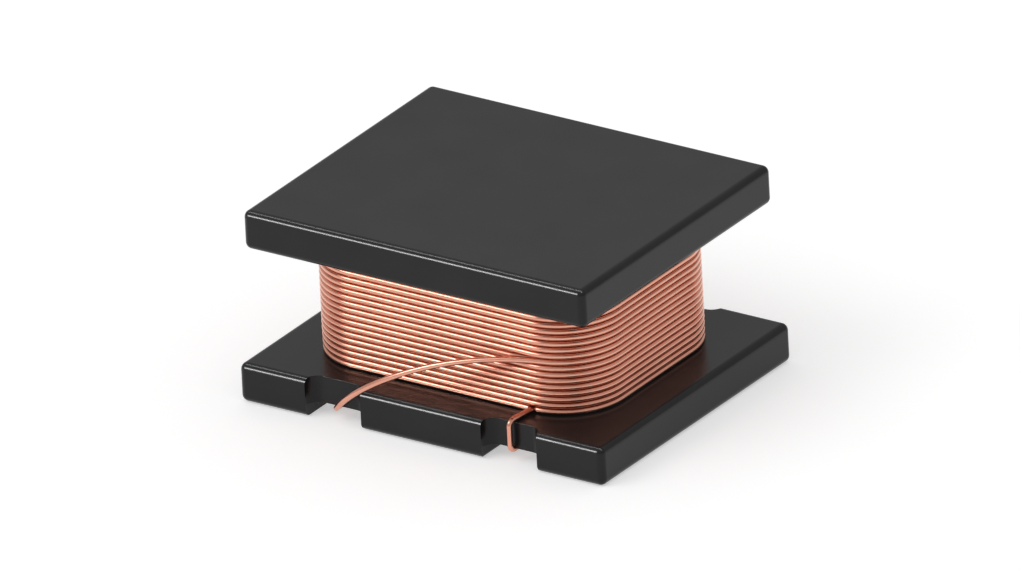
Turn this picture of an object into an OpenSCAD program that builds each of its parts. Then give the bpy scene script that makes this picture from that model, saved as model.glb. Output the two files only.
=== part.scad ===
// Surface mount wire-wound inductor: a flanged ferrite core, its copper winding and two soldered terminals.
// Millimetres. The origin is the middle of the underside, X runs along the part and Z points up.

/* [Base plate] */
// Length of the base plate
base_l = 3.2; // [2.6:0.1:4.4]
// Width of the base plate
base_w = 2.5; // [2.2:0.1:3.6]
// Thickness of the base plate
base_h = 0.31; // [0.24:0.01:0.5]
// Depth of the two grooves across the underside
groove_h = 0.098; // [0.082:0.002:0.118]
// Rounding of the middle foot along the grooves
foot_r = 0.03; // [0.01:0.005:0.05]

/* [Wire notches] */
// Distance of each notch from the middle of the part
notch_x = 0.774; // [0.64:0.001:0.94]
// Length of a notch along the edge
notch_l = 0.488; // [0.4:0.002:0.6]
// Depth of a notch, which is also the radius of its two ends
notch_d = 0.105; // [0.09:0.005:0.13]

/* [Top plate and post] */
// Length of the top plate
top_l = 3; // [2.6:0.1:4.4]
// Width of the top plate
top_w = 2.5; // [2:0.1:3.6]
// Thickness of the top plate
top_h = 0.31; // [0.15:0.01:0.5]
// Rounding of all the edges of both plates
edge_r = 0.055; // [0.02:0.005:0.06]
// Height of the winding window between the plates
window_h = 0.942; // [0.75:0.002:1.3]
// Length of the post that carries the winding
post_l = 1.95; // [1.6:0.01:2.4]
// Width of the post
post_w = 1.294; // [1:0.002:1.56]
// Rounding of the upright edges of the post
post_r = 0.184; // [0.1:0.002:0.3]

/* [Winding] */
// Diameter of the enamelled wire
wire_d = 0.044; // [0.036:0.001:0.046]
// Distance from turn to turn and from layer to layer
pitch = 0.0498; // [0.048:0.0002:0.06]
// Number of layers from the post outwards
layers = 6; // [3:1:7]
// Turn of the outer layer, counted from the base, that leaves as the finish lead
exit_turn = 8; // [4:1:11]
// Play between the post and the innermost layer
post_gap = 0.008; // [0.004:0.001:0.02]
// Length over which a turn climbs to the next one, on the far side
climb_l = 0.5; // [0.3:0.05:0.8]

/* [Leads] */
// Place of the start lead's end, from the middle of its notch
start_off = -0.023; // [-0.06:0.001:0.06]
// Place of the finish lead's end, from the middle of its notch
finish_off = 0.023; // [-0.02:0.001:0.06]
// How far the middle of the leads lies inside the front of the base
lead_in = 0.055; // [0.05:0.001:0.06]
// Angle by which the start lead slants on its way to the coil
start_lean = 6.5; // [0:0.5:10]
// Bend radius of the start lead where it joins the lowest turn
join_bend = 0.03; // [0.025:0.005:0.05]
// Corner angle at which the finish lead leaves the coil
exit_angle = 76.5; // [74:0.5:80]
// How far the finish lead keeps its direction as it leaves the coil
exit_pull = 0.69; // [0.5:0.01:0.8]
// How far inside the inner end of its notch the finish lead passes that end
rim_x = 0.011; // [0.008:0.001:0.02]
// How far in front of the base it passes there
rim_y = 0.006; // [0.004:0.001:0.014]
// How far above the base it passes there
rim_z = 0.002; // [0:0.001:0.01]
// Angle at which it dips there
rim_angle = 35; // [32:0.5:38]
// How far it keeps that direction before the end of the notch
rim_before = 0.36; // [0.3:0.01:0.42]
// How far it keeps that direction after it
rim_after = 0.123; // [0.11:0.001:0.14]
// Angle at which it dips at the edge of its groove
dip_angle = 46; // [42:1:50]
// Angle at which it comes back towards the notch wall there
back_angle = 27.5; // [24:0.5:30]
// How far it keeps that direction before the groove
dip_pull = 0.093; // [0.08:0.001:0.11]
// Last turn of the finish lead, to its end under the base
hook = 0.02; // [0.016:0.001:0.024]

/* [Terminals] */
// Thickness of the metal layer
terminal_t = 0.012; // [0.008:0.001:0.02]
// Distance of the metal layer from the front and back of the base
terminal_margin = 0.27; // [0.2:0.01:0.4]
// Distance of the metal layer from the rounding at the end of the base
terminal_inset = 0.005; // [0:0.005:0.04]
// Depth of the channel for each wire's end in the roof of its groove
channel_d = 0.019; // [0.016:0.001:0.024]
// Play of the wire in its channel
channel_gap = 0.003; // [0.002:0.001:0.004]
// Width of a solder bead
solder_w = 0.34; // [0.2:0.01:0.4]
// Length of a solder bead
solder_l = 0.6; // [0.4:0.05:0.8]
// Distance of a solder bead from the notch wall
solder_inset = 0.22; // [0.2:0.01:0.3]
// Height of a solder bead's crown above the board
solder_rise = 0.006; // [0.002:0.001:0.02]
// Play round the wire in its solder bead
solder_gap = 0.001; // [0.001:0.001:0.003]

/* [Hidden] */

ferrite_color = [0.13, 0.13, 0.13];
copper_color = [0.76, 0.42, 0.32];
tin_color = [0.8, 0.8, 0.82];

// Facets of rounded edges, and of the quarter circles in outlines and in the wire's path
round_fn = 32;
arc_steps = 6;
wire_sides = 8;
// Overshoot of the cutting shapes
cut = 1;

wire_r = wire_d / 2;
top_z = base_h + window_h;
wall_y = base_w / 2 - notch_d;
terminal_w = base_w - 2 * terminal_margin;

// Turns of one layer, and the height of each in the window
turns = floor((window_h - wire_d) / pitch) + 1;
function turn_z(k) = base_h + (window_h - (turns - 1) * pitch) / 2 + pitch * k;

// The middle line of the outer layer's wire, as a rounded rectangle
coil_build = post_gap + (layers - 0.5) * pitch;
coil_x = post_l / 2 + coil_build;
coil_y = post_w / 2 + coil_build;
coil_r = post_r + coil_build;
// The inner layers end half a pitch inside that line, where the ends of the strands go in
tuck = pitch / 2;
tuck_x = climb_l / 2 + pitch;

// The wire's ends: their places along the part, their height in the channels, and where they stop
start_x = notch_x + start_off;
finish_x = notch_x + finish_off;
tail_z = groove_h + channel_d - channel_gap - wire_r;
lead_y = base_w / 2 - lead_in;
solder_y = wall_y - solder_inset;
tail_y = solder_y - solder_l + pitch;

// Outlines

// Points of a quarter-circle about a centre, from one angle to another
function arc(c, r, from, to) =
    [for (i = [0 : arc_steps]) let (a = from + (to - from) * i / arc_steps) c + r * [cos(a), sin(a)]];

// Rectangle about the origin with round corners
function rounded_rectangle(l, w, r) =
    [for (q = [0 : 3])
        let (sx = q == 0 || q == 3 ? 1 : -1, sy = q < 2 ? 1 : -1)
        each arc([sx * (l / 2 - r), sy * (w / 2 - r)], r, 90 * q, 90 * q + 90)];

// A plate with all its edges round, from three sets of rods along its edges
module rounded_plate(l, w, h) {
    x = l / 2 - edge_r;
    y = w / 2 - edge_r;
    z = h / 2 - edge_r;
    translate([0, 0, h / 2])
        hull()
            for (s = [-1, 1], t = [-1, 1]) {
                translate([s * x, t * y, 0])
                    cylinder(r = edge_r, h = 2 * z, center = true, $fn = round_fn);
                translate([s * x, 0, t * z])
                    rotate([90, 0, 0])
                        cylinder(r = edge_r, h = 2 * y, center = true, $fn = round_fn);
                translate([0, s * y, t * z])
                    rotate([0, 90, 0])
                        cylinder(r = edge_r, h = 2 * x, center = true, $fn = round_fn);
            }
}

// Ferrite core

// A notch in an edge of the base, with the shape of a slot along that edge
module notch() {
    translate([0, 0, -cut])
        linear_extrude(base_h + 2 * cut)
            polygon(rounded_rectangle(notch_l, 2 * notch_d, notch_d));
}

// A groove across the underside, with the middle foot's edge rounded
module groove() {
    inner = notch_x - notch_l / 2;
    outer = notch_x + notch_l / 2;
    translate([0, base_w / 2 + cut, 0])
        rotate([90, 0, 0])
            linear_extrude(base_w + 2 * cut)
                polygon(concat(
                    [[inner, groove_h], [outer, groove_h], [outer, -cut], [inner - foot_r, -cut]],
                    arc([inner - foot_r, foot_r], foot_r, -90, 0)));
}

module base_plate() {
    difference() {
        rounded_plate(base_l, base_w, base_h);
        for (s = [-1, 1]) {
            for (t = [-1, 1])
                translate([s * notch_x, t * base_w / 2, 0])
                    notch();
            mirror([s < 0 ? 1 : 0, 0, 0]) {
                groove();
                metal_layer();
                channel(s < 0 ? finish_x : start_x);
            }
        }
    }
}

module ferrite_core() {
    color(ferrite_color) {
        base_plate();
        translate([0, 0, base_h - edge_r])
            linear_extrude(window_h + 2 * edge_r)
                polygon(rounded_rectangle(post_l, post_w, post_r));
        translate([0, 0, top_z])
            rounded_plate(top_l, top_w, top_h);
    }
}

// Terminals

// Metal layer on the underside of an end foot, up the groove wall and over the groove, flush with them
module metal_layer() {
    inner = notch_x - notch_l / 2;
    outer = notch_x + notch_l / 2;
    end = base_l / 2 - edge_r - terminal_inset;
    translate([0, terminal_w / 2, 0])
        rotate([90, 0, 0])
            linear_extrude(terminal_w)
                polygon([
                    [end, 0],
                    [end, terminal_t],
                    [outer + terminal_t, terminal_t],
                    [outer + terminal_t, groove_h + terminal_t],
                    [inner, groove_h + terminal_t],
                    [inner, groove_h],
                    [outer, groove_h],
                    [outer, 0]]);
}

// Channel for a wire's end in the roof of a groove, from the notch to the end of the wire
module channel(x) {
    r = wire_r + channel_gap;
    translate([x, -tail_y + channel_gap, tail_z])
        rotate([90, 0, 0])
            linear_extrude(base_w / 2 - tail_y) {
                circle(r, $fn = round_fn);
                translate([-r, -r])
                    square([2 * r, r]);
            }
}

module terminal(x) {
    color(tin_color)
        difference() {
            metal_layer();
            channel(x);
        }
}

module left_terminal() {
    mirror([1, 0, 0])
        terminal(finish_x);
}

module right_terminal() {
    terminal(start_x);
}

// Solder

// A long bead, flat against the metal layer and crowned towards the board, round the end of its wire
module solder(x) {
    bead_h = groove_h - solder_rise;
    bead_r = (solder_w * solder_w / 4 + bead_h * bead_h) / (2 * bead_h);
    middle_y = -solder_y + solder_l / 2;
    color(tin_color)
        difference() {
            intersection() {
                hull()
                    for (s = [-1, 1])
                        translate([x, middle_y + s * (solder_l - solder_w) / 2, solder_rise + bead_r])
                            sphere(bead_r, $fn = round_fn);
                translate([x, middle_y, groove_h - cut])
                    linear_extrude(cut)
                        square(2 * solder_l, center = true);
            }
            translate([x, -tail_y + solder_gap, tail_z])
                rotate([90, 0, 0])
                    cylinder(r = wire_r + solder_gap, h = cut, $fn = round_fn);
        }
}

module left_solder() {
    mirror([1, 0, 0])
        solder(finish_x);
}

module right_solder() {
    solder(start_x);
}

// Path of the wire

// Corner q of turn k, going clockwise seen from above from the far right corner
function corner(q, k, sweep = 90) =
    let (sx = q < 2 ? 1 : -1, sy = q == 0 || q == 3 ? 1 : -1)
    [for (p = arc([sx * (coil_x - coil_r), sy * (coil_y - coil_r)], coil_r, 90 - 90 * q, 90 - 90 * q - sweep))
        [p.x, p.y, turn_z(k)]];

function full_turn(k) = [for (q = [0 : 3]) each corner(q, k)];

// The climb from one turn to the next on the far side
function climb(k) = [[-climb_l / 2, coil_y, turn_z(k)], [climb_l / 2, coil_y, turn_z(k + 1)]];

function climbing_turns(first, last) = [for (k = [first : 1 : last]) each concat(full_turn(k), climb(k))];

// The end of a strand, bent from its direction into the inner layers
function tucked_end(p, along, inward) =
    [for (i = [1 : arc_steps])
        let (a = 90 * i / arc_steps)
        p + tuck * (sin(a) * along + (1 - cos(a)) * inward)];

function reversed(list) = [for (i = [len(list) - 1 : -1 : 0]) list[i]];

// Where a strand goes in at the far side, before its climb, and comes out, after it
function far_in(k) =
    let (p = [-tuck_x, coil_y, turn_z(k)])
    concat([p], tucked_end(p, [1, 0, 0], [0, -1, 0]));
function far_out(k) =
    let (p = [tuck_x, coil_y, turn_z(k)])
    reversed(concat([p], tucked_end(p, [-1, 0, 0], [0, -1, 0])));

// Start lead: from its free end in the right groove, round the edge of the base and into the lowest turn
join_start = -coil_y - join_bend * (1 + sin(start_lean));
start_run = (lead_y + join_start) / cos(start_lean);
join_x = start_x + start_run * sin(start_lean);
start_lead =
    let (
        z = turn_z(0),
        bend = lead_y - wall_y,
        low = arc([-lead_y + bend, tail_z + bend], bend, -90, -180),
        high = arc([bend, z - bend], bend, 180, 90),
        join = arc([join_x - join_bend * cos(start_lean), -coil_y - join_bend], join_bend, -start_lean, 90))
    concat(
        [[start_x, -tail_y, tail_z]],
        [for (p = low) [start_x, p.x, p.y]],
        [for (p = high) [start_x + p.x * sin(start_lean), -lead_y + p.x * cos(start_lean), p.y]],
        [for (p = join) [p.x, p.y, z]]);

// Point of a cubic curve
function cubic(p, t) =
    pow(1 - t, 3) * p[0] + 3 * pow(1 - t, 2) * t * p[1] + 3 * (1 - t) * t * t * p[2] + pow(t, 3) * p[3];
function cubic_path(p, steps) = [for (i = [1 : steps]) cubic(p, i / steps)];

// Finish lead: from the near right corner across the front of the coil and down into the left notch
exit_corner = corner(1, exit_turn, exit_angle);
exit_point = exit_corner[arc_steps];
exit_way = [-sin(exit_angle), -cos(exit_angle), 0];
finish_lead =
    let (
        rim = [notch_l / 2 - notch_x - rim_x, -base_w / 2 - rim_y, base_h + rim_z],
        rim_way = [-cos(rim_angle), 0, -sin(rim_angle)],
        edge = [hook - finish_x, -lead_y, tail_z + 0.8 * hook],
        edge_way = [-cos(dip_angle) * cos(back_angle), sin(back_angle), -sin(dip_angle) * cos(back_angle)],
        under = [-finish_x, -wall_y, tail_z])
    concat(
        cubic_path(
            [exit_point, exit_point + exit_pull * exit_way, rim - rim_before * rim_way, rim],
            2 * arc_steps),
        cubic_path([rim, rim + rim_after * rim_way, edge - dip_pull * edge_way, edge], arc_steps),
        cubic_path([edge, edge + tuck * edge_way, under - [0, tuck, 0], under], arc_steps),
        [[-finish_x, -tail_y, tail_z]]);

// The turn above the finish lead comes out of the inner layers along the back of that lead
depth = 2 * pitch - wire_d;
behind = exit_point + depth * [-cos(exit_angle), sin(exit_angle), 0];
behind_ramp = [behind, [behind.x - (behind.y + coil_y) * tan(exit_angle), -coil_y, behind.z]];

// The lowest turn goes into the inner layers behind the start lead
last_x = join_x + 2.5 * wire_d;
last_sweep = acos(max(0, (last_x - coil_x + coil_r) / coil_r));
last_corner = corner(1, 0, last_sweep);
last_end = [last_x, last_corner[arc_steps].y, turn_z(0)];
last_straight = last_x < coil_x - coil_r ? [last_end] : [];
last_way = [-sin(last_sweep), -cos(last_sweep), 0];
last_stop = [join_x - wire_d, depth - coil_y, turn_z(0)];
last_dip = cubic_path(
    [last_end, last_end + wire_d * last_way, last_stop + [wire_d, 0, 0], last_stop],
    arc_steps);

strands = [
    concat(start_lead, corner(2, 0), corner(3, 0), far_in(0)),
    concat(far_out(0), corner(0, 0), last_corner, last_straight, last_dip),
    concat(far_out(1), climbing_turns(1, exit_turn - 1), corner(0, exit_turn), exit_corner, finish_lead),
    concat(
        behind_ramp, corner(2, exit_turn), corner(3, exit_turn), climb(exit_turn),
        climbing_turns(exit_turn + 1, turns - 2), full_turn(turns - 1), far_in(turns - 1))];

// Winding

// A direction that no strand starts along, to set the first ring of its surface by
ring_side = [0.3, 0.2, 0.9];

function unit(v) = v / norm(v);
function side_of(u, t) = unit(u - (u * t) * t);

// Direction of a path at each of its points
function directions(p) =
    let (n = len(p) - 1)
    [for (i = [0 : n])
        i == 0 ? unit(p[1] - p[0])
        : i == n ? unit(p[n] - p[n - 1])
        : unit(unit(p[i + 1] - p[i]) + unit(p[i] - p[i - 1]))];

// Rings of the wire's surface along a path, carried along it without twist
function wire_points(p) =
    let (t = directions(p), n = len(p))
    [for (i = 0, u = side_of(ring_side, t[0]); i < n; i = i + 1, u = i < n ? side_of(u, t[i]) : u)
        each [for (s = [0 : wire_sides - 1])
            let (a = 360 * s / wire_sides)
            p[i] + wire_r * (cos(a) * u + sin(a) * cross(t[i], u))]];

// Faces of a wire with a number of rings, whose points start at an index
function wire_faces(rings, first) =
    let (n = wire_sides, last = first + (rings - 1) * n)
    concat(
        [[for (s = [0 : n - 1]) first + s]],
        [for (i = [0 : rings - 2], s = [0 : n - 1])
            let (a = first + i * n + s, b = first + i * n + (s + 1) % n)
            each [[a, a + n, b], [b, a + n, b + n]]],
        [[for (s = [n - 1 : -1 : 0]) last + s]]);

function points_before(list, i) = i == 0 ? 0 : points_before(list, i - 1) + len(list[i - 1]) * wire_sides;

// The inner layers, wound tight, as one solid
module inner_layers() {
    inside = 2 * post_gap;
    outside = 2 * (coil_build - tuck);
    translate([0, 0, turn_z(0) - wire_r])
        linear_extrude((turns - 1) * pitch + wire_d)
            difference() {
                polygon(rounded_rectangle(post_l + outside, post_w + outside, post_r + outside / 2));
                polygon(rounded_rectangle(post_l + inside, post_w + inside, post_r + inside / 2));
            }
}

// The outer layer and both leads, turn by turn
module outer_layer() {
    polyhedron(
        points = [for (p = strands) each wire_points(p)],
        faces = [for (i = [0 : len(strands) - 1])
            each wire_faces(len(strands[i]), points_before(strands, i))],
        convexity = 10);
}

module winding() {
    color(copper_color) {
        inner_layers();
        outer_layer();
    }
}

ferrite_core();
winding();
left_terminal();
right_terminal();
left_solder();
right_solder();
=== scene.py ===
"""Looks of a surface mount wire-wound inductor: ferrite core, copper winding, tinned terminals and solder.

Shapes are worked out in millimetres in the part's own frame and stored in metres.
"""
import math

import bmesh
import bpy
from mathutils import Matrix, Vector


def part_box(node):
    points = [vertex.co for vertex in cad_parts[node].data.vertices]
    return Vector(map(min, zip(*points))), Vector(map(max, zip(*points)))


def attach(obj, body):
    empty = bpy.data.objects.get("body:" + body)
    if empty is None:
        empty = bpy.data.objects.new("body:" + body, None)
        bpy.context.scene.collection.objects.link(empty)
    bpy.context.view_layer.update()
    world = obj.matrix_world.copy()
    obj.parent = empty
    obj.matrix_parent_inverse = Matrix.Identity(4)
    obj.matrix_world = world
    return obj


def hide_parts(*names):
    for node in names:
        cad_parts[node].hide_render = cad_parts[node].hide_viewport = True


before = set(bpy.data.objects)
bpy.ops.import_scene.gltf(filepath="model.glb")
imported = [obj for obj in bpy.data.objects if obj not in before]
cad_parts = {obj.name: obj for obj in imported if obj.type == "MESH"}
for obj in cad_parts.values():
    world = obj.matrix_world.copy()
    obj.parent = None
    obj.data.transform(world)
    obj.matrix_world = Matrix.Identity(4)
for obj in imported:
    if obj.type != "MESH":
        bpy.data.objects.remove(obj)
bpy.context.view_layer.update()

MM = 0.001
CORE_LOW, CORE_HIGH = (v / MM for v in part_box("ferrite_core"))

# Ferrite core
BASE_L = CORE_HIGH.x - CORE_LOW.x
BASE_W = CORE_HIGH.y - CORE_LOW.y
BASE_H = 0.31
TOP_L = 3.0
TOP_W = 2.5
TOP_H = 0.31
EDGE_R = 0.055
WINDOW_H = CORE_HIGH.z - BASE_H - TOP_H
POST_L, POST_W, POST_R = 1.95, 1.294, 0.184
NOTCH_X, NOTCH_L, NOTCH_D = 0.774, 0.488, 0.105
NOTCH_RIM = 0.003
WALL_Y = BASE_W / 2 - NOTCH_D
GROOVE_IN, GROOVE_OUT = NOTCH_X - NOTCH_L / 2, NOTCH_X + NOTCH_L / 2
GROOVE_H = 0.098
FOOT_R = 0.03
CUT_PAST = 0.1  # how far a cutter reaches past the core
SHARP_ANGLE = math.radians(30)

# Winding: BUILD is from the post to the middle of the outer layer's wire, and turns count from 0 at the base
WIRE_R = 0.022
PITCH = 0.0498
LAYERS = 6
EXIT_TURN = 8
POST_GAP = 0.008
CLIMB_L = 0.5
TURNS = int((WINDOW_H - 2 * WIRE_R) / PITCH) + 1
BUILD = POST_GAP + (LAYERS - 0.5) * PITCH
COIL_X = POST_L / 2 + BUILD
COIL_Y = POST_W / 2 + BUILD
COIL_R = POST_R + BUILD
TUCK = PITCH / 2
FIRST_SIDE = Vector((0.3, 0.2, 0.9))  # a direction that no strand starts along

# Start lead, on the right
LEAD_SHIFT, LEAD_INSET = 0.023, 0.055
START_X, FINISH_X = NOTCH_X - LEAD_SHIFT, NOTCH_X + LEAD_SHIFT
LEAD_Y = BASE_W / 2 - LEAD_INSET
LEAD_BEND = LEAD_Y - WALL_Y
LEAN = math.radians(6.5)
JOIN_BEND = 0.03
JOIN_START = -COIL_Y - JOIN_BEND * (1 + math.sin(LEAN))
JOIN_X = START_X + (LEAD_Y + JOIN_START) * math.tan(LEAN)
BEHIND_FROM, BEHIND_TO = 1.3, -0.2  # wire widths to the right of the join

# Finish lead, on the left
EXIT_ANGLE, RIM_ANGLE, DIP_ANGLE, BACK_ANGLE = (math.radians(a) for a in (76.5, 35, 46, 27.5))
EXIT_PULL, RIM_BEFORE, RIM_AFTER, DIP_PULL = 0.69, 0.36, 0.123, 0.093
RIM_PASS = Vector((-0.011, -0.006, 0.002))
HOOK, HOOK_RISE = 0.02, 0.016

# Terminals and solder
TERMINAL_T, TERMINAL_MARGIN, TERMINAL_INSET = 0.012, 0.27, EDGE_R + 0.005
TERMINAL_W = BASE_W - 2 * TERMINAL_MARGIN
TERMINAL_END = BASE_L / 2 - TERMINAL_INSET
CHANNEL_D, CHANNEL_GAP = 0.019, 0.003
SOLDER_W, SOLDER_L = 0.34, 0.6
SOLDER_INSET = 0.22
SOLDER_RISE = 0.006
SOLDER_MERGE = 0.0006  # points closer than this are made one
SOLDER_Y = WALL_Y - SOLDER_INSET
TAIL_Y = SOLDER_Y - SOLDER_L + PITCH
TAIL_Z = GROOVE_H + CHANNEL_D - CHANNEL_GAP - WIRE_R

# Smoothness
EDGE_STEPS = 10
RIM_STEPS = 4
ARC_STEPS = 18
LEAD_STEPS = 48
TURN_STEPS = 8
WIRE_SIDES = 20

# Materials: pairs run from the low to the high end of a noise
NOISE_RANGE = (0.3, 0.7)
FERRITE_COLOURS = (0.0055, 0.0055, 0.0057), (0.008, 0.008, 0.0081)
FERRITE_ROUGHNESS = 0.22, 0.26
FERRITE_SPECULAR = 0.27
COPPER_COLOURS = (0.77, 0.36, 0.26), (0.83, 0.4, 0.29)
COPPER_ROUGHNESS = 0.22, 0.28
WIRE_MAP = "wire"
DRAWN_LINES = (1.2, 14, 1)  # along the wire to the millimetre, and around it
TIN_COLOURS = (0.6, 0.6, 0.62), (0.74, 0.74, 0.76)
TIN_ROUGHNESS_SPREAD = 0.08

# Camera, fitted to the photo: its axes, its scale and the point in the middle of the picture
CAMERA_RIGHT = Vector((0.83152, 0.55355, -0.0465))
CAMERA_UP = Vector((-0.19911, 0.37515, 0.90533))
CAMERA_BACK = Vector((0.51859, -0.74354, 0.42216))
PIXELS_PER_MM = 136.65
IMAGE_W = 1020
FITTED = Vector((0, 0, 0.1535))
SHIFT_RIGHT, SHIFT_UP = -0.0383, 0.563
AIM = FITTED + SHIFT_RIGHT * CAMERA_RIGHT + SHIFT_UP * CAMERA_UP

# Studio, with lengths in metres
CAMERA_DISTANCE = 0.05
CAMERA_CLIP = 0.001, 10
FLOOR_SIZE = 6
FLOOR_DROP = 1e-6
FLOOR_COLOUR = (0.9, 0.9, 0.9, 1)
FLOOR_GLOW = 0.447
WHITE = (1, 1, 1, 1)
WORLD_STRENGTH = 0.55
LAMP_DISTANCE = 1.0

# Lamps: name, what it lights, direction from the part, width and height, brightness beside the world's strength
PIECE_LAMPS = (
    ("key", "wire", (-0.52, -0.59, 0.62), (0.35, 0.25), 9.2),
    ("edge", "core", (-0.52, -0.76, 0.39), (0.3, 0.14), 55.0),
    ("upper", "core", (0, -0.045, 1), (1.6, 0.12), 15.0),
)
FLOOR_LAMP = ("shade", "floor", (-0.45, -0.6, 0.75), (0.6, 0.6), 1.65)


# Meshes

def finish_piece(name, mesh, node, material):
    """Make a mesh in millimetres into a piece that stands for a node of the part."""
    mesh.transform(Matrix.Scale(MM, 4))
    piece = bpy.data.objects.new(name, mesh)
    bpy.context.scene.collection.objects.link(piece)
    mesh.materials.clear()
    mesh.materials.append(material)
    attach(piece, "root")
    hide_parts(node)


def mesh_from(bm, name, smooth=True):
    """The mesh of a bmesh, with outward faces."""
    bmesh.ops.recalc_face_normals(bm, faces=bm.faces)
    for face in bm.faces:
        face.smooth = smooth
    mesh = bpy.data.meshes.new(name)
    bm.to_mesh(mesh)
    bm.free()
    return mesh


def temporary(mesh):
    """An object for a modifier to work with."""
    obj = bpy.data.objects.new(mesh.name, mesh)
    bpy.context.scene.collection.objects.link(obj)
    return obj


def evaluated(obj):
    """The mesh of an object with its modifiers applied."""
    graph = bpy.context.evaluated_depsgraph_get()
    return bpy.data.meshes.new_from_object(obj.evaluated_get(graph))


def combine(obj, steps):
    """The mesh of an object after a row of cuts and joins. The objects are used up."""
    for operation, tool in steps:
        boolean = obj.modifiers.new(tool.name, "BOOLEAN")
        boolean.operation, boolean.solver, boolean.object = operation, "EXACT", tool
    mesh = evaluated(obj)
    for used in [obj] + [tool for _, tool in steps]:
        bpy.data.objects.remove(used)
    return mesh


def arc(centre, radius, start, stop):
    """Points of an arc in a plane, angles in degrees."""
    angles = (math.radians(start + (stop - start) * i / ARC_STEPS) for i in range(ARC_STEPS + 1))
    return [Vector((centre[0] + radius * math.cos(a), centre[1] + radius * math.sin(a))) for a in angles]


def rounded_rectangle(length, width, radius):
    """Outline about the origin with round corners."""
    points = []
    for q, (sx, sy) in enumerate(((1, 1), (-1, 1), (-1, -1), (1, -1))):
        centre = (sx * (length / 2 - radius), sy * (width / 2 - radius))
        points += arc(centre, radius, 90 * q, 90 * q + 90)
    return points


def loft(bm, loops, ring=False):
    """Skin a stack of loops with as many points each, with end faces or closed into a ring."""
    rows = [[bm.verts.new(p) for p in loop] for loop in loops]
    count = len(rows[0])
    next_rows = rows[1:] + rows[:1] if ring else rows[1:]
    for low, high in zip(rows, next_rows):
        for i in range(count):
            j = (i + 1) % count
            bm.faces.new((low[i], low[j], high[j], high[i]))
    if not ring:
        bm.faces.new(reversed(rows[0]))
        bm.faces.new(rows[-1])


def lofted(name, loops, smooth=True):
    """A temporary object skinned over a stack of loops."""
    bm = bmesh.new()
    loft(bm, loops)
    return temporary(mesh_from(bm, name, smooth))


# Ferrite core

def rounded_plate(name, length, width, height, low):
    """A plate with all its edges round, standing on a height."""
    bm = bmesh.new()
    bmesh.ops.create_cube(bm, size=1)
    bmesh.ops.scale(bm, vec=(length, width, height), verts=bm.verts)
    bmesh.ops.translate(bm, vec=(0, 0, low + height / 2), verts=bm.verts)
    bmesh.ops.bevel(bm, geom=bm.edges[:], offset=EDGE_R, segments=EDGE_STEPS, profile=0.5, affect="EDGES")
    return temporary(mesh_from(bm, name))


def post():
    """The post, which reaches a little into both plates."""
    outline = rounded_rectangle(POST_L, POST_W, POST_R)
    ends = (BASE_H - EDGE_R, BASE_H + WINDOW_H + EDGE_R)
    return lofted("post", [[(p.x, p.y, z) for p in outline] for z in ends])


def notch_cutter(x, y):
    """A slot along an edge of the base, flared a little at its upper rim."""
    def outline(extra):
        return rounded_rectangle(NOTCH_L + 2 * extra, 2 * (NOTCH_D + extra), NOTCH_D + extra)
    angles = (math.pi / 2 * i / RIM_STEPS for i in range(RIM_STEPS + 1))
    rim = [(NOTCH_RIM * (1 - math.cos(a)), BASE_H - NOTCH_RIM * (1 - math.sin(a))) for a in angles]
    levels = [(0, -CUT_PAST)] + rim + [(NOTCH_RIM, BASE_H + CUT_PAST)]
    return lofted("notch", [[(x + p.x, y + p.y, z) for p in outline(extra)] for extra, z in levels])


def groove_cutter(side):
    """A groove across the underside, with the middle foot's edge rounded."""
    foot = GROOVE_IN - FOOT_R
    corners = ((GROOVE_IN, GROOVE_H), (GROOVE_OUT, GROOVE_H), (GROOVE_OUT, -CUT_PAST), (foot, -CUT_PAST))
    outline = [Vector(p) for p in corners] + arc((foot, FOOT_R), FOOT_R, -90, 0)
    return lofted("groove", [[(side * p.x, y, p.y) for p in outline] for y in (-BASE_W, BASE_W)])


def channel_cutter(x):
    """A channel for a wire's end in the roof of a groove."""
    r = WIRE_R + CHANNEL_GAP
    outline = arc((0, 0), r, 0, 180) + [Vector((-r, -r)), Vector((r, -r))]
    ends = (-BASE_W / 2, -TAIL_Y)
    return lofted("channel", [[(x + p.x, y, TAIL_Z + p.y) for p in outline] for y in ends])


def layer_solid(name, side, low, lower_side, smooth=True):
    """A solid with the upper side of a metal layer: from the end foot up the groove wall and over the groove."""
    wall, roof = GROOVE_OUT + TERMINAL_T, GROOVE_H + TERMINAL_T
    upper_side = (
        (TERMINAL_END, low), (TERMINAL_END, TERMINAL_T), (wall, TERMINAL_T), (wall, roof), (GROOVE_IN, roof),
        (GROOVE_IN, GROOVE_H))
    outline = upper_side + lower_side
    ends = (-TERMINAL_W / 2, TERMINAL_W / 2)
    return lofted(name, [[(side * x, y, z) for x, z in outline] for y in ends], smooth)


def layer_cutter(side):
    """The room for a metal layer in the core, open below."""
    return layer_solid("layer", side, -CUT_PAST, ((NOTCH_X, -CUT_PAST),))


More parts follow.
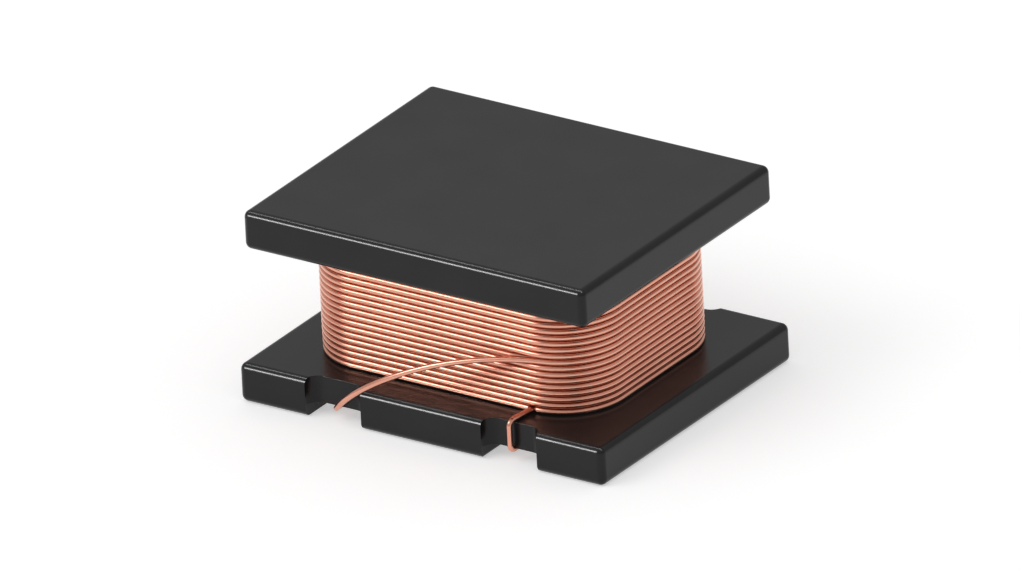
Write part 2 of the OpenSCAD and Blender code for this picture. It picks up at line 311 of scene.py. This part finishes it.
def core():
    """The core as one mesh: the notched and grooved base with the post and the top plate."""
    base = rounded_plate("base", BASE_L, BASE_W, BASE_H, 0)
    cutters = [notch_cutter(sx * NOTCH_X, sy * BASE_W / 2) for sx in (-1, 1) for sy in (-1, 1)]
    cutters += [groove_cutter(sx) for sx in (-1, 1)]
    cutters += [layer_cutter(sx) for sx in (-1, 1)]
    cutters += [channel_cutter(x) for x in (-FINISH_X, START_X)]
    additions = [post(), rounded_plate("top", TOP_L, TOP_W, TOP_H, BASE_H + WINDOW_H)]
    steps = [("DIFFERENCE", tool) for tool in cutters] + [("UNION", tool) for tool in additions]
    joined = temporary(combine(base, steps))
    joined.data.set_sharp_from_angle(angle=SHARP_ANGLE)
    normals = joined.modifiers.new("normals", "WEIGHTED_NORMAL")
    normals.keep_sharp = True
    mesh = evaluated(joined)
    bpy.data.objects.remove(joined)
    return mesh


# Path of the wire

def turn_z(k):
    """The height of a turn's middle line."""
    return BASE_H + (WINDOW_H - (TURNS - 1) * PITCH) / 2 + PITCH * k


def corner(q, k, sweep=90):
    """Corner q of turn k, going clockwise seen from above from the far right corner."""
    sx, sy = ((1, 1), (1, -1), (-1, -1), (-1, 1))[q]
    centre = (sx * (COIL_X - COIL_R), sy * (COIL_Y - COIL_R))
    start = 90 - 90 * q
    return [p.to_3d() + Vector((0, 0, turn_z(k))) for p in arc(centre, COIL_R, start, start - sweep)]


def full_turn(k):
    """The four corners of a turn."""
    return [p for q in range(4) for p in corner(q, k)]


def climb(k):
    """The smooth climb from one turn to the next on the far side."""
    points = []
    for i in range(ARC_STEPS + 1):
        t = i / ARC_STEPS
        ease = t * t * (3 - 2 * t)
        points.append(Vector(((t - 0.5) * CLIMB_L, COIL_Y, turn_z(k) + PITCH * ease)))
    return points


def climbing_turns(first, last):
    """Turns that each climb to the next."""
    return [p for k in range(first, last + 1) for p in full_turn(k) + climb(k)]


def tucked_end(p, along, inward):
    """The end of a strand, bent from its direction into the inner layers."""
    angles = [math.pi / 2 * i / ARC_STEPS for i in range(ARC_STEPS + 1)]
    return [p + TUCK * (math.sin(a) * Vector(along) + (1 - math.cos(a)) * Vector(inward)) for a in angles]


def far_in(k):
    """The end of turn k on the far side."""
    return tucked_end(Vector((-CLIMB_L / 2 - PITCH, COIL_Y, turn_z(k))), (1, 0, 0), (0, -1, 0))


def far_out(k):
    """The beginning of turn k on the far side."""
    return tucked_end(Vector((CLIMB_L / 2 + PITCH, COIL_Y, turn_z(k))), (-1, 0, 0), (0, -1, 0))[::-1]


def start_lead():
    """From the free end in the right groove, round the edge of the base and into the lowest turn."""
    z = turn_z(0)
    low = arc((-LEAD_Y + LEAD_BEND, TAIL_Z + LEAD_BEND), LEAD_BEND, -90, -180)
    high = arc((LEAD_BEND, z - LEAD_BEND), LEAD_BEND, 180, 90)
    join_centre = (JOIN_X - JOIN_BEND * math.cos(LEAN), -COIL_Y - JOIN_BEND)
    join = arc(join_centre, JOIN_BEND, -math.degrees(LEAN), 90)
    points = [Vector((START_X, -TAIL_Y, TAIL_Z))]
    points += [Vector((START_X, p.x, p.y)) for p in low]
    points += [Vector((START_X + p.x * math.sin(LEAN), -LEAD_Y + p.x * math.cos(LEAN), p.y)) for p in high]
    return points + [Vector((p.x, p.y, z)) for p in join]


def cubic(a, b, c, d, steps):
    """Points of a cubic curve after its first."""
    points = []
    for i in range(1, steps + 1):
        t = i / steps
        s = 1 - t
        points.append(s ** 3 * a + 3 * s * s * t * b + 3 * s * t * t * c + t ** 3 * d)
    return points


def finish_lead(p, leave):
    """From the near right corner across the front of the coil and down into the left notch."""
    rim = Vector((-GROOVE_IN, -BASE_W / 2, BASE_H)) + RIM_PASS
    rim_way = Vector((-math.cos(RIM_ANGLE), 0, -math.sin(RIM_ANGLE)))
    edge = Vector((HOOK - FINISH_X, -LEAD_Y, TAIL_Z + HOOK_RISE))
    edge_way = Vector((-math.cos(DIP_ANGLE) * math.cos(BACK_ANGLE), math.sin(BACK_ANGLE),
                       -math.sin(DIP_ANGLE) * math.cos(BACK_ANGLE)))
    under = Vector((-FINISH_X, -WALL_Y, TAIL_Z))
    points = cubic(p, p + EXIT_PULL * leave, rim - RIM_BEFORE * rim_way, rim, LEAD_STEPS)
    points += cubic(rim, rim + RIM_AFTER * rim_way, edge - DIP_PULL * edge_way, edge, ARC_STEPS)
    points += cubic(edge, edge + TUCK * edge_way, under - Vector((0, TUCK, 0)), under, ARC_STEPS)
    return points + [Vector((-FINISH_X, -TAIL_Y, TAIL_Z))]


def last_turn():
    """The near right part of the lowest turn, which goes into the inner layers behind the start lead."""
    wire = 2 * WIRE_R
    x = JOIN_X + BEHIND_FROM * wire
    sweep = math.acos((x - COIL_X + COIL_R) / COIL_R)
    points = corner(1, 0, math.degrees(sweep))
    way = Vector((-math.sin(sweep), -math.cos(sweep), 0))
    stop = Vector((JOIN_X + BEHIND_TO * wire, 2 * PITCH - wire - COIL_Y, turn_z(0)))
    return points + cubic(points[-1], points[-1] + wire * way, stop + Vector((wire, 0, 0)), stop, ARC_STEPS)


def strands():
    """The strands of the outer layer, with both leads."""
    exit_corner = corner(1, EXIT_TURN, math.degrees(EXIT_ANGLE))
    leave = Vector((-math.sin(EXIT_ANGLE), -math.cos(EXIT_ANGLE), 0))
    inward = Vector((-math.cos(EXIT_ANGLE), math.sin(EXIT_ANGLE), 0))
    behind = exit_corner[-1] + 2 * (PITCH - WIRE_R) * inward
    ramp_end = behind + (behind.y + COIL_Y) / math.cos(EXIT_ANGLE) * leave
    return [
        start_lead() + corner(2, 0) + corner(3, 0) + far_in(0),
        far_out(0) + corner(0, 0) + last_turn(),
        far_out(1) + climbing_turns(1, EXIT_TURN - 1) + corner(0, EXIT_TURN) + exit_corner
        + finish_lead(exit_corner[-1], leave),
        [behind, ramp_end] + corner(2, EXIT_TURN) + corner(3, EXIT_TURN) + climb(EXIT_TURN)
        + climbing_turns(EXIT_TURN + 1, TURNS - 2) + full_turn(TURNS - 1) + far_in(TURNS - 1),
    ]


# Winding

def sweep_wire(bm, uv, path):
    """Skin a round wire along a path, with its length and angle as coordinates."""
    last = len(path) - 1
    steps = [(b - a).normalized() for a, b in zip(path, path[1:])]
    tangents = [steps[0]] + [(a + b).normalized() for a, b in zip(steps, steps[1:])] + [steps[-1]]
    side = FIRST_SIDE
    rings, lengths, run = [], [], 0.0
    for i, (p, t) in enumerate(zip(path, tangents)):
        side = (side - side.dot(t) * t).normalized()
        other = t.cross(side)
        angles = (2 * math.pi * s / WIRE_SIDES for s in range(WIRE_SIDES))
        rings.append([bm.verts.new(p + WIRE_R * (math.cos(a) * side + math.sin(a) * other)) for a in angles])
        lengths.append(run)
        run += (path[min(i + 1, last)] - p).length
    for i in range(last):
        near, far = lengths[i], lengths[i + 1]
        for s in range(WIRE_SIDES):
            n = (s + 1) % WIRE_SIDES
            face = bm.faces.new((rings[i][s], rings[i][n], rings[i + 1][n], rings[i + 1][s]))
            turn = (s / WIRE_SIDES, (s + 1) / WIRE_SIDES)
            spots = ((near, turn[0]), (near, turn[1]), (far, turn[1]), (far, turn[0]))
            for loop, spot in zip(face.loops, spots):
                loop[uv].uv = spot
    bm.faces.new(reversed(rings[0]))
    bm.faces.new(rings[-1])


def inner_layers(bm):
    """The layers below the visible one as one ring, with its outer face in the shape of turns."""
    low, high = turn_z(0) - WIRE_R, turn_z(TURNS - 1) + WIRE_R
    profile = [(POST_GAP, high), (POST_GAP, low)]
    for k in range(TURNS):
        for i in range(TURN_STEPS + 1):
            a = math.pi * (i / TURN_STEPS - 0.5)
            profile.append((BUILD - PITCH + WIRE_R * math.cos(a), turn_z(k) + WIRE_R * math.sin(a)))
    loops = []
    for extra, z in profile:
        outline = rounded_rectangle(POST_L + 2 * extra, POST_W + 2 * extra, POST_R + extra)
        loops.append([(p.x, p.y, z) for p in outline])
    loft(bm, loops, ring=True)


def winding():
    """The whole winding as one mesh."""
    bm = bmesh.new()
    uv = bm.loops.layers.uv.new(WIRE_MAP)
    for path in strands():
        sweep_wire(bm, uv, path)
    inner_layers(bm)
    return mesh_from(bm, "winding")


# Terminals and solder

def terminal(side, wire_x):
    """Metal layer under an end foot, up the groove wall and over the groove, with the wire's channel in it."""
    layer = layer_solid("terminal", side, 0, ((GROOVE_OUT, GROOVE_H), (GROOVE_OUT, 0)), smooth=False)
    return combine(layer, [("DIFFERENCE", channel_cutter(side * wire_x))])


def solder(x):
    """A long bead, flat against the metal layer and crowned towards the board."""
    height = GROOVE_H - SOLDER_RISE
    radius = (SOLDER_W ** 2 / 4 + height ** 2) / (2 * height)
    middle = -SOLDER_Y + SOLDER_L / 2
    bm = bmesh.new()
    loops = []
    for i in range(EDGE_STEPS):
        reach = SOLDER_W / 2 * math.cos(math.pi / 2 * i / EDGE_STEPS)
        z = SOLDER_RISE + radius - math.sqrt(radius ** 2 - reach ** 2)
        outline = rounded_rectangle(2 * reach, SOLDER_L - SOLDER_W + 2 * reach, reach)
        loops.append([(x + p.x, middle + p.y, z) for p in outline])
    loft(bm, loops)
    bmesh.ops.remove_doubles(bm, verts=bm.verts, dist=SOLDER_MERGE)
    return mesh_from(bm, "solder")


# Materials

def new_material(name):
    """A material with its nodes, its shader and a function that links two sockets."""
    material = bpy.data.materials.new(name)
    material.use_nodes = True
    nodes = material.node_tree.nodes
    return material, nodes, nodes["Principled BSDF"], material.node_tree.links.new


def noise(nodes, link, place, scale, detail):
    """Noise over coordinates, with a scale for each of them."""
    mapping = nodes.new("ShaderNodeMapping")
    mapping.inputs["Scale"].default_value = scale
    texture = nodes.new("ShaderNodeTexNoise")
    texture.inputs["Scale"].default_value = 1.0
    texture.inputs["Detail"].default_value = detail
    link(place, mapping.inputs["Vector"])
    link(mapping.outputs["Vector"], texture.inputs["Vector"])
    return texture.outputs["Fac"]


def part_noise(nodes, link, per_mm, detail):
    """Noise fixed to the part, with its scale in features per millimetre."""
    place = nodes.new("ShaderNodeTexCoord")
    return noise(nodes, link, place.outputs["Object"], [per_mm / MM] * 3, detail)


def wire_noise(nodes, link, scale, detail):
    """Noise fixed to the wire, with a scale along it and one around it."""
    place = nodes.new("ShaderNodeUVMap")
    place.uv_map = WIRE_MAP
    return noise(nodes, link, place.outputs["UV"], scale, detail)


def ramp(nodes, link, value, low, high):
    """Colours, or grey levels, for a value's range."""
    node = nodes.new("ShaderNodeValToRGB")
    for element, position, colour in zip(node.color_ramp.elements, NOISE_RANGE, (low, high)):
        element.position = position
        element.color = (*colour, 1) if isinstance(colour, tuple) else (colour, colour, colour, 1)
    link(value, node.inputs["Fac"])
    return node.outputs["Color"]


def bump(nodes, link, value, strength, height):
    """Fine relief, with its height in millimetres."""
    node = nodes.new("ShaderNodeBump")
    node.inputs["Strength"].default_value = strength
    node.inputs["Distance"].default_value = height * MM
    link(value, node.inputs["Height"])
    return node.outputs["Normal"]


def ferrite_material():
    """Smooth black sintered ferrite with a fine grain and a satin gloss."""
    material, nodes, shader, link = new_material("ferrite")
    grain = part_noise(nodes, link, per_mm=60, detail=6)
    cloud = part_noise(nodes, link, per_mm=2.5, detail=3)
    link(ramp(nodes, link, cloud, *FERRITE_COLOURS), shader.inputs["Base Color"])
    link(ramp(nodes, link, grain, *FERRITE_ROUGHNESS), shader.inputs["Roughness"])
    link(bump(nodes, link, grain, strength=0.03, height=0.0005), shader.inputs["Normal"])
    shader.inputs["Specular IOR Level"].default_value = FERRITE_SPECULAR
    return material


def copper_material():
    """Bright enamelled copper with faint drawing lines along the wire."""
    material, nodes, shader, link = new_material("copper_wire")
    lines = wire_noise(nodes, link, scale=DRAWN_LINES, detail=3)
    tone = part_noise(nodes, link, per_mm=3, detail=3)
    link(ramp(nodes, link, tone, *COPPER_COLOURS), shader.inputs["Base Color"])
    link(ramp(nodes, link, lines, *COPPER_ROUGHNESS), shader.inputs["Roughness"])
    link(bump(nodes, link, lines, strength=0.05, height=0.0005), shader.inputs["Normal"])
    shader.inputs["Metallic"].default_value = 1.0
    return material


def tin_material(name, rough, relief):
    """Tinned metal, matt and grainy or smooth as solder."""
    material, nodes, shader, link = new_material(name)
    grain = part_noise(nodes, link, per_mm=40, detail=5)
    roughness = rough - TIN_ROUGHNESS_SPREAD, rough + TIN_ROUGHNESS_SPREAD
    link(ramp(nodes, link, grain, *TIN_COLOURS), shader.inputs["Base Color"])
    link(ramp(nodes, link, grain, *roughness), shader.inputs["Roughness"])
    link(bump(nodes, link, grain, strength=relief, height=0.003), shader.inputs["Normal"])
    shader.inputs["Metallic"].default_value = 1.0
    return material


def build_part():
    """All six pieces."""
    finish_piece("core", core(), "ferrite_core", ferrite_material())
    finish_piece("wire", winding(), "winding", copper_material())
    layer = tin_material("tinned_layer", rough=0.45, relief=0.5)
    bead = tin_material("solder", rough=0.2, relief=0.15)
    for name, side, wire_x in (("left", -1, FINISH_X), ("right", 1, START_X)):
        finish_piece(f"{name}_layer", terminal(side, wire_x), f"{name}_terminal", layer)
        finish_piece(f"{name}_bead", solder(side * wire_x), f"{name}_solder", bead)


# Studio

def camera():
    """A camera in parallel projection with the photo's view."""
    data = bpy.data.cameras.new("camera")
    data.type = "ORTHO"
    data.ortho_scale = IMAGE_W / PIXELS_PER_MM * MM
    data.clip_start, data.clip_end = CAMERA_CLIP
    obj = bpy.data.objects.new("camera", data)
    turn = Matrix((CAMERA_RIGHT, CAMERA_UP, CAMERA_BACK)).transposed()
    obj.matrix_world = Matrix.Translation(AIM * MM + CAMERA_BACK * CAMERA_DISTANCE) @ turn.to_4x4()
    bpy.context.scene.collection.objects.link(obj)
    bpy.context.scene.camera = obj


def math_node(nodes, operation):
    """A node that works out one number from two."""
    node = nodes.new("ShaderNodeMath")
    node.operation = operation
    return node


def floor():
    """A pale floor that looks white where nothing shades it, to the camera and in reflections."""
    bpy.ops.mesh.primitive_plane_add(size=FLOOR_SIZE, location=(0, 0, -FLOOR_DROP))
    plane = bpy.context.object
    plane.name = "floor"
    material, nodes, shader, link = new_material("floor")
    shader.inputs["Base Color"].default_value = FLOOR_COLOUR
    shader.inputs["Roughness"].default_value = 1.0
    shader.inputs["Specular IOR Level"].default_value = 0.0
    shader.inputs["Emission Color"].default_value = WHITE
    path = nodes.new("ShaderNodeLightPath")
    seen = path.outputs["Is Camera Ray"]
    for ray in ("Is Glossy Ray", "Is Transmission Ray"):
        either = math_node(nodes, "MAXIMUM")
        link(seen, either.inputs[0])
        link(path.outputs[ray], either.inputs[1])
        seen = either.outputs[0]
    glow = math_node(nodes, "MULTIPLY")
    glow.inputs[1].default_value = FLOOR_GLOW
    link(seen, glow.inputs[0])
    link(glow.outputs[0], shader.inputs["Emission Strength"])
    plane.data.materials.append(material)


def softbox(name, lit_object, direction, size, brightness):
    """A rectangular lamp that faces the part and lights one piece or the floor."""
    data = bpy.data.lights.new(name, "AREA")
    data.shape = "RECTANGLE"
    data.size, data.size_y = size
    data.energy = math.pi * size[0] * size[1] * brightness
    obj = bpy.data.objects.new(name, data)
    obj.location = LAMP_DISTANCE * Vector(direction).normalized()
    obj.rotation_euler = obj.location.to_track_quat("Z", "Y").to_euler()
    bpy.context.scene.collection.objects.link(obj)
    lit = bpy.data.collections.new(name)
    lit.objects.link(bpy.data.objects[lit_object])
    obj.light_linking.receiver_collection = lit
    return obj


def studio():
    """An even white surround, soft lamps for the wire, the core and the floor, and plain colours."""
    world = bpy.data.worlds.new("studio")
    bpy.context.scene.world = world
    world.use_nodes = True
    sky = world.node_tree.nodes["Background"]
    sky.inputs["Color"].default_value = WHITE
    sky.inputs["Strength"].default_value = WORLD_STRENGTH
    # A piece's lamp is shaded by that piece alone, so the plates keep no light off the wire
    for lamp in [softbox(*values) for values in PIECE_LAMPS]:
        lamp.light_linking.blocker_collection = lamp.light_linking.receiver_collection
    # The whole part shades the floor's lamp
    softbox(*FLOOR_LAMP)
    bpy.context.scene.view_settings.view_transform = "Standard"


build_part()
floor()
studio()
camera()
